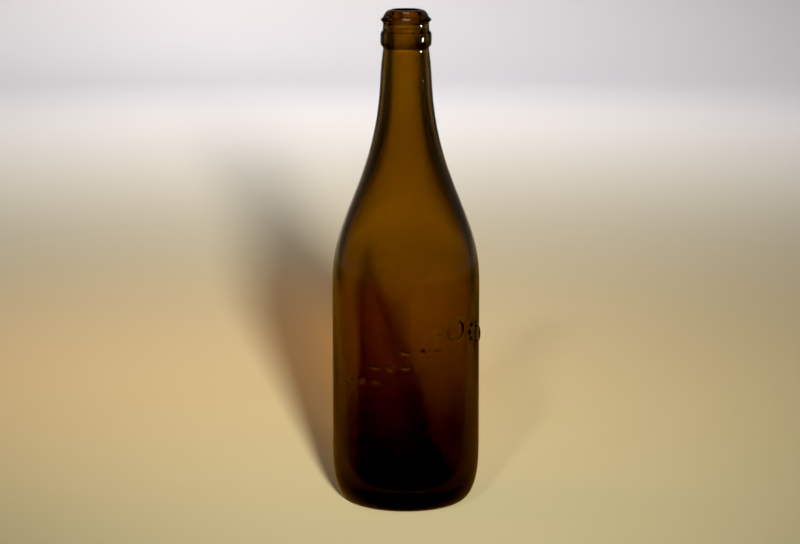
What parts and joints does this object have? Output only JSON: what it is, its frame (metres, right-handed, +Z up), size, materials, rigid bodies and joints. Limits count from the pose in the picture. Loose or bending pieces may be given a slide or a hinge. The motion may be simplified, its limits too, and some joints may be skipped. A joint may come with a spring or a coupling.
{
  "type": "glass soda bottle",
  "caption": "Thick-walled amber glass bottle with a rounded heel, long sloping shoulder and a crown finish, for a sealed carbonated drink.",
  "frame": {"origin": "centre of the base, on the surface the bottle stands on", "axes": "+Z up along the bottle's axis to the mouth; -Y towards the front, where the raised ornament is; +X to the right seen from the front"},
  "size_m": [0.0852, 0.0852, 0.284],
  "materials": {
    "body_glass": "deep brown-amber blown glass, smooth and slightly wavy, with light wear at the heel",
    "finish_glass": "deep brown-amber tooled glass, glossy, with faint turning lines"
  },
  "bodies": {
    "root": {"bottle_body": "body_glass", "applied_finish": "finish_glass"}
  },
  "joints": []
}
